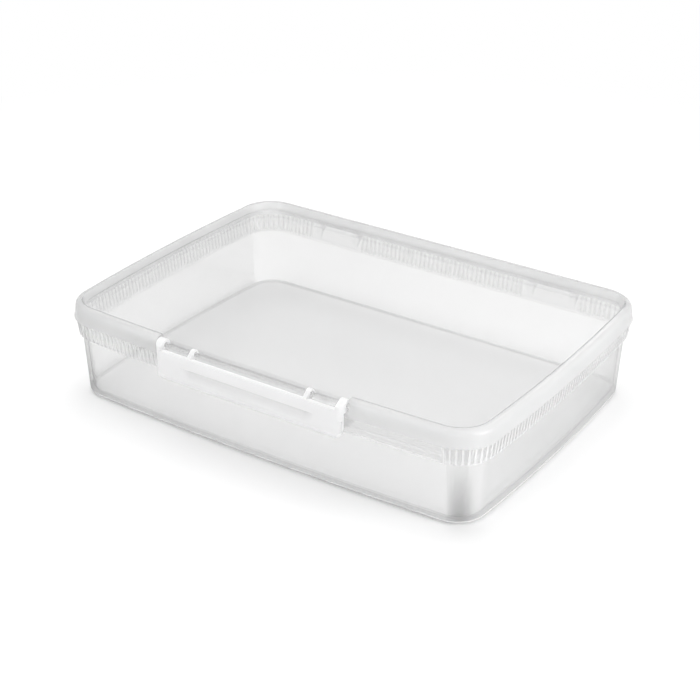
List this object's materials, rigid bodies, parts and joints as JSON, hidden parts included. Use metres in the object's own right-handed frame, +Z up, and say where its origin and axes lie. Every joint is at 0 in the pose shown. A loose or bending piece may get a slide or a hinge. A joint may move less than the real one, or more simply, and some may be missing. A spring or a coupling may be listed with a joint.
{
  "type": "hinged food storage container",
  "caption": "Shallow rectangular food keeper: a clear tray, a clear hinged lid with a sunk panel, and a wide frosted snap clasp along the front.",
  "frame": {"origin": "On the surface that the keeper stands on, under the middle of its overall box.", "axes": "+X runs along the long side to the right, +Y to the back where the hinges are, +Z up. The clasp is on the -Y side."},
  "size_m": [0.308, 0.2298, 0.0642],
  "materials": {
    "clear_tray": "clear, glossy, with fine moulded ribs under the rim",
    "clear_lid": "clear and glossy",
    "frosted_clasp": "frosted translucent white"
  },
  "bodies": {
    "tray_body": {"tray": "clear_tray"},
    "lid_body": {"lid": "clear_lid"},
    "clasp_body": {"clasp": "frosted_clasp"}
  },
  "joints": [
    {"name": "lid_hinge", "type": "hinge", "parent": "tray_body", "child": "lid_body", "pos_m": [0, 0.1116, 0.0533], "axis": [-1, 0, 0], "range_deg": [0, 110]},
    {"name": "clasp_hinge", "type": "hinge", "parent": "lid_body", "child": "clasp_body", "pos_m": [0, -0.1089, 0.0598], "axis": [-1, 0, 0], "range_deg": [0, 150]}
  ]
}
